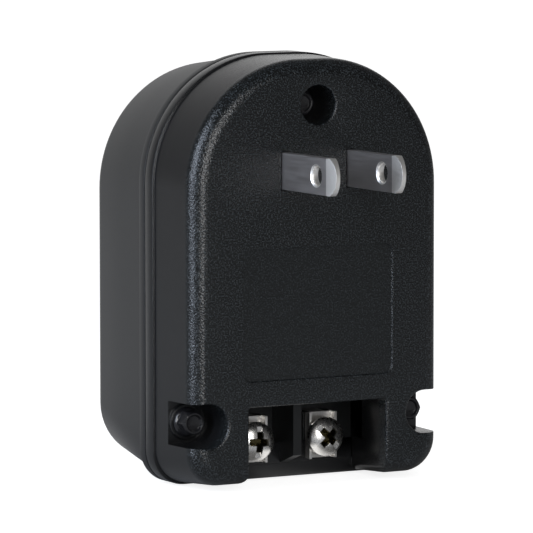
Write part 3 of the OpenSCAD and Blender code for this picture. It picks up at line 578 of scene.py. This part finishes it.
def make_case_screw(x, z):
    """A flanged hexagon screw with a dished head and thread ridges."""
    seat = NOTCH_DEPTH - SEAT_RAISE
    rows = [(0, FLANGE[0][1])] + list(FLANGE) + [(THREAD_CORE, 0)]
    for i in range(RIDGES):
        rows += [(radius, 1 + i * PITCH + y) for radius, y in RIDGE]
    rows += [(THREAD_CORE, THREAD_LENGTH - 1), (THREAD_CORE / 2, THREAD_LENGTH), (0, THREAD_LENGTH)]
    shank = turned([(radius, seat + y) for radius, y in rows], x, z, 48)
    return join(make_hexagon(x, z, seat), shank)


for word, (x, z) in SCREWS.items():
    piece = new_piece(f"flange_screw_{word}", make_case_screw(x, z), 30)
    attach(piece, "root")
    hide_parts(f"case_screw_{word}")
print("case screws made")

# %% [markdown]
# ## Materials
# Each finish is a small node tree on object coordinates, so the grain keeps its real size on every piece.

# %% Node helpers
def new_material(name):
    """An empty node material and its nodes: tree, shader and object coordinates."""
    material = bpy.data.materials.new(name)
    material.use_nodes = True
    tree = material.node_tree
    shader = tree.nodes["Principled BSDF"]
    place = tree.nodes.new("ShaderNodeTexCoord")
    return material, tree, shader, place.outputs["Object"]


def add_noise(tree, place, size_mm, detail=2.0, roughness=0.5, stretch=None):
    """Noise whose grains are about size_mm across; stretch scales its axes."""
    noise = tree.nodes.new("ShaderNodeTexNoise")
    noise.inputs["Scale"].default_value = 1.0 / (size_mm * MM)
    noise.inputs["Detail"].default_value = detail
    noise.inputs["Roughness"].default_value = roughness
    if stretch:
        mapping = tree.nodes.new("ShaderNodeMapping")
        mapping.inputs["Scale"].default_value = stretch
        tree.links.new(place, mapping.inputs["Vector"])
        place = mapping.outputs["Vector"]
    tree.links.new(place, noise.inputs["Vector"])
    return noise.outputs["Fac"]


def add_math(tree, operation, *values):
    """A maths node on sockets or numbers."""
    node = tree.nodes.new("ShaderNodeMath")
    node.operation = operation
    for slot, value in zip(node.inputs, values):
        if isinstance(value, (int, float)):
            slot.default_value = value
        else:
            tree.links.new(value, slot)
    return node.outputs[0]


def add_ramp(tree, value, low, high, from_low=0.3, from_high=0.7):
    """Maps a value onto a range."""
    node = tree.nodes.new("ShaderNodeMapRange")
    node.inputs["From Min"].default_value = from_low
    node.inputs["From Max"].default_value = from_high
    node.inputs["To Min"].default_value = low
    node.inputs["To Max"].default_value = high
    tree.links.new(value, node.inputs["Value"])
    return node.outputs["Result"]


def blend(tree, share, first, second, kind="RGBA"):
    """Goes from first to second as share rises from 0 to 1; each is a colour or a socket."""
    mix = tree.nodes.new("ShaderNodeMix")
    mix.data_type = kind
    tree.links.new(share, mix.inputs["Factor"])
    for side, value in (("A", first), ("B", second)):
        if isinstance(value, tuple):
            mix.inputs[side].default_value = (*value, 1)
        else:
            tree.links.new(value, mix.inputs[side])
    return mix.outputs["Result"]


def add_colours(tree, value, first, second, from_low=0.3, from_high=0.7):
    """Mixes two colours by a value."""
    return blend(tree, add_ramp(tree, value, 0, 1, from_low, from_high), first, second)


def add_square_sum(tree, first, second):
    """The sum of two squares."""
    squares = [add_math(tree, "MULTIPLY", value, value) for value in (first, second)]
    return add_math(tree, "ADD", *squares)


def split_place(tree, place):
    """The X, Y and Z of a place, in metres."""
    split = tree.nodes.new("ShaderNodeSeparateXYZ")
    tree.links.new(place, split.inputs["Vector"])
    return split.outputs["X"], split.outputs["Y"], split.outputs["Z"]


def add_bump(tree, shader, height, distance_mm, strength=1.0, edge_mm=0.0):
    """Raises the surface by a height value; edge_mm also softens sharp edges for the light."""
    bump = tree.nodes.new("ShaderNodeBump")
    bump.inputs["Distance"].default_value = distance_mm * MM
    bump.inputs["Strength"].default_value = strength
    tree.links.new(height, bump.inputs["Height"])
    if edge_mm:
        edge = tree.nodes.new("ShaderNodeBevel")
        edge.samples = 4
        edge.inputs["Radius"].default_value = edge_mm * MM
        tree.links.new(edge.outputs["Normal"], bump.inputs["Normal"])
    tree.links.new(bump.outputs["Normal"], shader.inputs["Normal"])


print("noise scale of a 1 mm grain:", round(1 / MM))


# %% [markdown]
# The case plastic comes from a mould whose plug face is spark-eroded: a coarse, sparkling grain that stops
# where the rounding meets the walls, and is calmer in the label panel. The walls have a much finer satin
# grain. Masks made from the object coordinates blend one grain into the other, without a seam.

# %% Cover plastic
GRAIN_MM, SPECK_MM, SATIN_MM, CLOUD_MM = 0.27, 0.27, 0.12, 9.0
WALL_FROM, WALL_TO = 2.0, 3.4
PANEL_EDGE_X, PANEL_EDGE_Z = (14.45, 14.6), (11.1, 11.25)
PANEL_SMOOTH, PANEL_CALM = 0.35, 0.42
PLASTIC_IOR = 1.5


def panel_mask(tree, x, z):
    """1 inside the label panel and 0 outside it."""
    middle = ((PANEL_TOP + PANEL_FOOT) / 2 - BLADE_HEIGHT) * MM
    across = add_math(tree, "ABSOLUTE", x)
    upward = add_math(tree, "ABSOLUTE", add_math(tree, "SUBTRACT", z, middle))
    inside = [add_ramp(tree, reach, 1, 0, start * MM, end * MM)
              for reach, (start, end) in ((across, PANEL_EDGE_X), (upward, PANEL_EDGE_Z))]
    return add_math(tree, "MULTIPLY", *inside)


def make_cover_plastic():
    """Black plastic with spark grain on the plug face and its rounding, satin on the walls."""
    material, tree, shader, place = new_material("spark_grained_black_plastic")
    x, y, z = split_place(tree, place)
    wall = add_ramp(tree, y, 0, 1, WALL_FROM * MM, WALL_TO * MM)
    panel = panel_mask(tree, x, z)
    grain = add_ramp(tree, add_noise(tree, place, GRAIN_MM, 1.0), 0, 1, 0.25, 0.75)
    satin = add_ramp(tree, add_noise(tree, place, SATIN_MM, 3.0, 0.6), 0, 0.16, 0.25, 0.75)
    height = blend(tree, wall, grain, satin, "FLOAT")
    smooth = add_math(tree, "SUBTRACT", 1.0, add_math(tree, "MULTIPLY", panel, PANEL_SMOOTH))
    specks = add_noise(tree, place, SPECK_MM, 1.0)
    colour = add_colours(tree, specks, (0.0016, 0.0022, 0.0026), (0.034, 0.041, 0.046), 0.47, 0.75)
    colour = blend(tree, add_math(tree, "MULTIPLY", panel, PANEL_CALM), colour, (0.0060, 0.0076, 0.0084))
    colour = blend(tree, wall, colour, (0.0062, 0.0064, 0.0070))
    tree.links.new(colour, shader.inputs["Base Color"])
    cloud = add_noise(tree, place, CLOUD_MM)
    tree.links.new(add_ramp(tree, cloud, 0.23, 0.27), shader.inputs["Roughness"])
    add_bump(tree, shader, add_math(tree, "MULTIPLY", height, smooth), 0.045, 1.0, 0.15)
    shader.inputs["IOR"].default_value = PLASTIC_IOR
    return material


front_cover.data.materials.append(make_cover_plastic())
print("cover plastic:", GRAIN_MM, "mm grain up to", WALL_FROM, "mm behind the face")


# %% [markdown]
# The rear case comes from a mould with the satin grain all over. Its colour is a little more even than the
# cover's, so the joint between the halves shows.

# %% Rear plastic
def make_rear_plastic():
    """Black plastic with an even satin grain."""
    material, tree, shader, place = new_material("satin_black_plastic")
    satin, cloud = add_noise(tree, place, SATIN_MM, 3.0, 0.6), add_noise(tree, place, CLOUD_MM)
    colour = add_colours(tree, cloud, (0.0078, 0.0080, 0.0086), (0.0092, 0.0094, 0.0100))
    tree.links.new(colour, shader.inputs["Base Color"])
    tree.links.new(add_ramp(tree, satin, 0.40, 0.50), shader.inputs["Roughness"])
    add_bump(tree, shader, satin, 0.008, 1.0, 0.12)
    shader.inputs["IOR"].default_value = PLASTIC_IOR
    return material


rear_case.data.materials.append(make_rear_plastic())
print("rear plastic:", SATIN_MM, "mm grain all over")

# %% [markdown]
# The blades are stamped from nickel-plated strip: a satin metal with faint rolling lines along the strip.
# Where the press has coined it, on the bevelled tip and round the hole, it is bright. One mask for each of
# the two places picks the bright colour, so the blade needs no extra pieces.

# %% Blade plating
BRIGHT_RIM, BRIGHT_END, TIP_SOFT = 0.36, 0.4, 0.05


def make_blade_plating():
    """Satin strip that turns bright on the coined tip and on the rim of the hole."""
    material, tree, shader, place = new_material("satin_nickel_strip")
    lines = add_noise(tree, place, 0.35, 3.0, 0.6, (1, 0.06, 1))
    _, y, z = split_place(tree, place)
    bevel_start = (BLADE_BEVEL - BLADE_LENGTH) * MM
    tip = add_ramp(tree, y, 1, 0, bevel_start - TIP_SOFT * MM, bevel_start)
    along = add_math(tree, "ADD", y, HOLE_REACH * MM)
    reach = add_math(tree, "SQRT", add_square_sum(tree, along, z))
    rim = add_ramp(tree, reach, 1, 0, (HOLE_RADIUS + BRIGHT_RIM) * MM, (HOLE_RADIUS + BRIGHT_END) * MM)
    satin = add_colours(tree, lines, (0.44, 0.42, 0.42), (0.50, 0.48, 0.48))
    colour = blend(tree, add_math(tree, "MAXIMUM", tip, rim), satin, (0.99, 0.97, 0.94))
    tree.links.new(colour, shader.inputs["Base Color"])
    tree.links.new(add_ramp(tree, lines, 0.40, 0.48), shader.inputs["Roughness"])
    shader.inputs["Metallic"].default_value = 1.0
    add_bump(tree, shader, lines, 0.001, 1.0, 0.06)
    return material


blade_plating = make_blade_plating()
for blade in blades:
    blade.data.materials.append(blade_plating)
print("blades plated:", blade_plating.name)

# %% [markdown]
# The terminal strips are plated brighter than the blades. The binding screws are bright too, but their slot
# and cross recess get painted shade: a dark colour there stands in for the shade down in the recess. The
# depth below the dome of the head tells the recess from the rest.

# %% Terminal plating
DOME_RADIUS, RECESS_FROM, RECESS_TO = 5.0, 0.25, 0.75
RECESS_REACH, RECESS_END = 2.2, 2.5


def make_strip_plating():
    """Bright plated strip with lines along its height."""
    material, tree, shader, place = new_material("bright_nickel_strip")
    lines = add_noise(tree, place, 0.3, 3.0, 0.6, (1, 1, 0.1))
    colour = add_colours(tree, lines, (0.70, 0.68, 0.65), (0.80, 0.78, 0.75))
    tree.links.new(colour, shader.inputs["Base Color"])
    tree.links.new(add_ramp(tree, lines, 0.32, 0.42), shader.inputs["Roughness"])
    shader.inputs["Metallic"].default_value = 1.0
    add_bump(tree, shader, lines, 0.002, 1.0, 0.06)
    return material


def recess_shade_mask(tree, place):
    """1 down in the recess of either binding screw, where shade is painted, and 0 on its head."""
    x, y, z = split_place(tree, place)
    aside = add_math(tree, "SUBTRACT", add_math(tree, "ABSOLUTE", x), TERMINAL_X * MM)
    above = add_math(tree, "SUBTRACT", z, (SCREW_Z - BLADE_HEIGHT) * MM)
    squared = add_square_sum(tree, aside, above)
    head_top = (PLATE_FRONT - EAR - HEAD_HEIGHT) * MM
    dome = add_math(tree, "ADD", add_math(tree, "DIVIDE", squared, 2 * DOME_RADIUS * MM), head_top)
    sunk = add_ramp(tree, add_math(tree, "SUBTRACT", y, dome), 0, 1, RECESS_FROM * MM, RECESS_TO * MM)
    inner = add_ramp(tree, squared, 1, 0, (RECESS_REACH * MM) ** 2, (RECESS_END * MM) ** 2)
    return add_math(tree, "MULTIPLY", sunk, inner)


def make_screw_plating():
    """Bright nickel, with painted shade down in the slot and the cross recess."""
    material, tree, shader, place = new_material("bright_nickel_screw")
    pattern = add_noise(tree, place, 0.4, 3.0, 0.6)
    bright = add_colours(tree, pattern, (0.80, 0.78, 0.75), (0.88, 0.86, 0.83))
    # painted shade: a dark colour down in the slot and cross recess stands in for the shade there
    colour = blend(tree, recess_shade_mask(tree, place), bright, (0.09, 0.075, 0.035))
    tree.links.new(colour, shader.inputs["Base Color"])
    tree.links.new(add_ramp(tree, pattern, 0.24, 0.32), shader.inputs["Roughness"])
    shader.inputs["Metallic"].default_value = 1.0
    add_bump(tree, shader, pattern, 0.002, 1.0, 0.06)
    return material


strip_plating, screw_plating = make_strip_plating(), make_screw_plating()
for word in ("left", "right"):
    bpy.data.objects[f"terminal_strip_{word}"].data.materials.append(strip_plating)
    bpy.data.objects[f"binding_screw_{word}"].data.materials.append(screw_plating)
print("terminals plated:", strip_plating.name, "and", screw_plating.name)

# %% [markdown]
# The case screws are dipped black. An oxide layer isn't bare metal to the light, so the shader stays a
# dielectric, dark and mottled, with the sheen of a little oil.

# %% Case screw finish
def make_black_steel():
    """Black oxide on steel."""
    material, tree, shader, place = new_material("black_oxide_steel")
    mottle = add_noise(tree, place, 0.5, 3.0)
    colour = add_colours(tree, mottle, (0.006, 0.006, 0.007), (0.012, 0.012, 0.014))
    tree.links.new(colour, shader.inputs["Base Color"])
    tree.links.new(add_ramp(tree, mottle, 0.16, 0.26), shader.inputs["Roughness"])
    add_bump(tree, shader, mottle, 0.008, 1.0, 0.1)
    return material


black_steel = make_black_steel()
for word in SCREWS:
    bpy.data.objects[f"flange_screw_{word}"].data.materials.append(black_steel)
print("case screws blackened:", len(SCREWS))

# %% [markdown]
# The inner pieces keep their engineering meshes and only get a finish: the core shows the edges of its
# sheets, the windings the lay of their wire, and the rest a plain moulded, taped or foamed surface.

# %% Inner finishes
WAVE_SCALE, SHEET_PITCH, WIRE_PITCH = 0.314, 0.5, 0.3


def make_inner(name, first, second, size_mm, rough, bump_mm=0.01):
    """A plain surface with a soft pattern between two colours."""
    material, tree, shader, place = new_material(name)
    pattern = add_noise(tree, place, size_mm)
    tree.links.new(add_colours(tree, pattern, first, second), shader.inputs["Base Color"])
    tree.links.new(add_ramp(tree, pattern, rough, rough + 0.12), shader.inputs["Roughness"])
    add_bump(tree, shader, pattern, bump_mm)
    return material


def make_lines(name, first, second, direction, pitch_mm, rough, metal, bump_mm):
    """Even lines across one axis, for stacked sheets and laid wire."""
    material, tree, shader, place = new_material(name)
    wave = tree.nodes.new("ShaderNodeTexWave")
    wave.bands_direction = direction
    wave.inputs["Scale"].default_value = WAVE_SCALE / (pitch_mm * MM)
    wave.inputs["Distortion"].default_value = 0.4
    tree.links.new(place, wave.inputs["Vector"])
    lines, worn = wave.outputs["Fac"], add_noise(tree, place, 0.8)
    tree.links.new(add_colours(tree, lines, first, second, 0, 1), shader.inputs["Base Color"])
    tree.links.new(add_ramp(tree, worn, rough, rough + 0.15), shader.inputs["Roughness"])
    shader.inputs["Metallic"].default_value = metal
    add_bump(tree, shader, lines, bump_mm)
    return material


INNER_FINISHES = (
    (("terminal_block",),
     make_inner("smooth_black_plastic", (0.0035, 0.0042, 0.0046), (0.0050, 0.0058, 0.0062),
                0.26, 0.34, 0.02)),
    (("core_e_stack", "core_i_stack"),
     make_lines("silicon_steel_sheets", (0.16, 0.16, 0.17), (0.34, 0.34, 0.36), "Y",
                SHEET_PITCH, 0.4, 0.8, 0.05)),
    (("primary_winding", "secondary_winding"),
     make_lines("enamelled_copper_wire", (0.30, 0.09, 0.03), (0.62, 0.24, 0.10), "Z",
                WIRE_PITCH, 0.25, 0.9, 0.06)),
    (("primary_tape", "secondary_tape"),
     make_inner("polyester_tape", (0.62, 0.45, 0.08), (0.72, 0.55, 0.14), 3.0, 0.3)),
    (("bobbin", "blade_retainer"),
     make_inner("natural_nylon", (0.66, 0.62, 0.50), (0.74, 0.70, 0.58), 1.5, 0.45)),
    (("thermal_cutoff",),
     make_inner("pale_moulded_body", (0.75, 0.75, 0.72), (0.82, 0.82, 0.79), 0.8, 0.35)),
    (("primary_lead_left", "primary_lead_right"),
     make_inner("black_wire_cover", (0.02, 0.02, 0.02), (0.035, 0.035, 0.035), 0.8, 0.4)),
    (("secondary_lead_left", "secondary_lead_right"),
     make_inner("orange_wire_cover", (0.55, 0.20, 0.03), (0.62, 0.25, 0.05), 0.8, 0.4)),
    (("core_pad_left", "core_pad_right"),
     make_inner("black_foam_pad", (0.02, 0.02, 0.02), (0.05, 0.05, 0.05), 0.3, 0.8, 0.08)),
)
for words, finish in INNER_FINISHES:
    for word in words:
        nodes[word].data.materials.clear()
        nodes[word].data.materials.append(finish)
print("finished inner nodes:", sum(len(words) for words, _ in INNER_FINISHES))

# %% [markdown]
# ## Floor, light and camera
# The product stands before a white sweep. The floor is a pale diffuse sheet with some light of its own, so
# that it reads as white to the camera and still takes the soft shadow of the case.

# %% Floor
FLOOR_SIZE, FLOOR_GAP, FLOOR_GLOW, FLOOR_WHITE = 6, 0.0001, 0.85, (0.5, 0.5, 0.5, 1)
BEHIND, BEHIND_FROM, BEHIND_TO = (0.17, 0.985, 0), 0.70, 0.96


def backdrop_rays(tree, place, dim):
    """Camera rays, glossy or clear rays, and what the latter see: white behind the object, dim elsewhere."""
    outward = tree.nodes.new("ShaderNodeVectorMath")
    outward.operation = "NORMALIZE"
    tree.links.new(place, outward.inputs[0])
    behind = tree.nodes.new("ShaderNodeVectorMath")
    behind.operation = "DOT_PRODUCT"
    behind.inputs[1].default_value = BEHIND
    tree.links.new(outward.outputs["Vector"], behind.inputs[0])
    level = add_ramp(tree, behind.outputs["Value"], dim, 1.0, BEHIND_FROM, BEHIND_TO)
    ray = tree.nodes.new("ShaderNodeLightPath")
    onward = add_math(tree, "MAXIMUM", ray.outputs["Is Glossy Ray"], ray.outputs["Is Transmission Ray"])
    return ray.outputs["Is Camera Ray"], onward, level


def make_floor():
    """A pale diffuse sheet that glows for the camera and, behind the object, for reflections."""
    material = bpy.data.materials.new("white_sweep")
    material.use_nodes = True
    tree = material.node_tree
    tree.nodes.clear()
    out = tree.nodes.new("ShaderNodeOutputMaterial")
    diffuse = tree.nodes.new("ShaderNodeBsdfDiffuse")
    diffuse.inputs["Color"].default_value = FLOOR_WHITE
    glow = tree.nodes.new("ShaderNodeEmission")
    add = tree.nodes.new("ShaderNodeAddShader")
    place = tree.nodes.new("ShaderNodeTexCoord")
    seen, onward, level = backdrop_rays(tree, place.outputs["Object"], 0.0)
    share = add_math(tree, "ADD", seen, add_math(tree, "MULTIPLY", onward, level))
    tree.links.new(add_math(tree, "MULTIPLY", share, FLOOR_GLOW), glow.inputs["Strength"])
    tree.links.new(diffuse.outputs[0], add.inputs[0])
    tree.links.new(glow.outputs[0], add.inputs[1])
    tree.links.new(add.outputs[0], out.inputs["Surface"])
    return material


bpy.ops.mesh.primitive_plane_add(size=FLOOR_SIZE, location=(0, 0, cad_low.z - FLOOR_GAP))
floor = bpy.context.object
floor.name = "studio_floor"
floor.data.materials.append(make_floor())
print("floor at", round(floor.location.z / MM, 2), "mm")

# %% [markdown]
# The world does the same for the room. The camera sees white, diffuse surfaces get an even level of light,
# and reflections see the white sweep behind the object and a dim room in front of it. That keeps the plug
# face dark between its highlights.

# %% World
ROOM_LEVEL, ROOM_DIM = 0.4, 0.10


def make_world():
    """White for the camera, an even level as light, a backdrop and a dim room in reflections."""
    world = bpy.data.worlds.new("studio")
    bpy.context.scene.world = world
    world.use_nodes = True
    tree = world.node_tree
    tree.nodes.clear()
    out = tree.nodes.new("ShaderNodeOutputWorld")
    background = tree.nodes.new("ShaderNodeBackground")
    background.inputs["Color"].default_value = (1, 1, 1, 1)
    place = tree.nodes.new("ShaderNodeTexCoord")
    seen, onward, level = backdrop_rays(tree, place.outputs["Generated"], ROOM_DIM)
    diffuse = add_math(tree, "SUBTRACT", 1.0, add_math(tree, "MAXIMUM", seen, onward))
    mirrored = add_math(tree, "ADD", seen, add_math(tree, "MULTIPLY", onward, level))
    strength = add_math(tree, "ADD", mirrored, add_math(tree, "MULTIPLY", diffuse, ROOM_LEVEL))
    tree.links.new(strength, background.inputs["Strength"])
    tree.links.new(background.outputs[0], out.inputs["Surface"])


make_world()
print("room level", ROOM_LEVEL, "and in front", ROOM_DIM)

# %% [markdown]
# Two softboxes shape the case. A tall, cool one on the left gives the plug face and the left wall their
# sheen. A smaller one beside the camera lights the blades and the screws.

# %% Lamps
LAMP_AIM = at(0, 12, 36) * MM


def direction(azimuth, elevation):
    """A direction by its angle left of the plug face's normal and its height, in degrees."""
    a, e = math.radians(azimuth), math.radians(elevation)
    return Vector((-math.sin(a) * math.cos(e), -math.cos(a) * math.cos(e), math.sin(e)))


def add_lamp(name, outward, distance, width, height, brightness, colour=(1, 1, 1)):
    """A softbox that faces the case from a direction; brightness 1 looks white."""
    lamp = bpy.data.lights.new(name, "AREA")
    lamp.shape = "RECTANGLE"
    lamp.size, lamp.size_y = width, height
    lamp.energy = brightness * math.pi * width * height
    lamp.color = colour
    holder = bpy.data.objects.new(name, lamp)
    holder.location = LAMP_AIM + outward.normalized() * distance
    holder.rotation_euler = (LAMP_AIM - holder.location).to_track_quat("-Z", "Y").to_euler()
    bpy.context.scene.collection.objects.link(holder)
    return round(lamp.energy, 2)


left = add_lamp("left_softbox", direction(86, 16), 0.6, 0.16, 0.56, 12.0, (0.76, 0.85, 1.0))
front = add_lamp("front_softbox", direction(16, 10), 0.5, 0.10, 0.36, 11.0)
print("softboxes:", left, "and", front, "W")

# %% [markdown]
# The photograph was taken with a long lens from the left of the plug face and a little above. The camera
# stands 0.85 m away, and its lens is chosen so that the case fills the square picture as there.

# %% Camera
AZIMUTH, ELEVATION, ROLL, DISTANCE = 28.9, 5.6, math.radians(-0.05), 0.85
SENSOR, PHOTO_SIZE, PIXELS_PER_MM = 36, 533, 5.82
back = direction(AZIMUTH, ELEVATION)
right = Vector((math.cos(math.radians(AZIMUTH)), -math.sin(math.radians(AZIMUTH)), 0))
up = back.cross(right)
right, up = right * math.cos(ROLL) + up * math.sin(ROLL), up * math.cos(ROLL) - right * math.sin(ROLL)
aim = (right * -4.03 + at(0, 10, 35.612)) * MM
turn = Matrix((right, up, back)).transposed().to_4x4()
camera_data = bpy.data.cameras.new("camera")
camera_data.sensor_width = SENSOR
camera_data.lens = SENSOR * PIXELS_PER_MM * DISTANCE / MM / PHOTO_SIZE
camera_data.clip_start, camera_data.clip_end = 0.05, 20
camera = bpy.data.objects.new("camera", camera_data)
camera.matrix_world = Matrix.Translation(aim + back * DISTANCE) @ turn
bpy.context.scene.collection.objects.link(camera)
bpy.context.scene.camera = camera
bpy.context.scene.view_settings.view_transform = "Standard"
print("lens", round(camera_data.lens, 1), "mm")
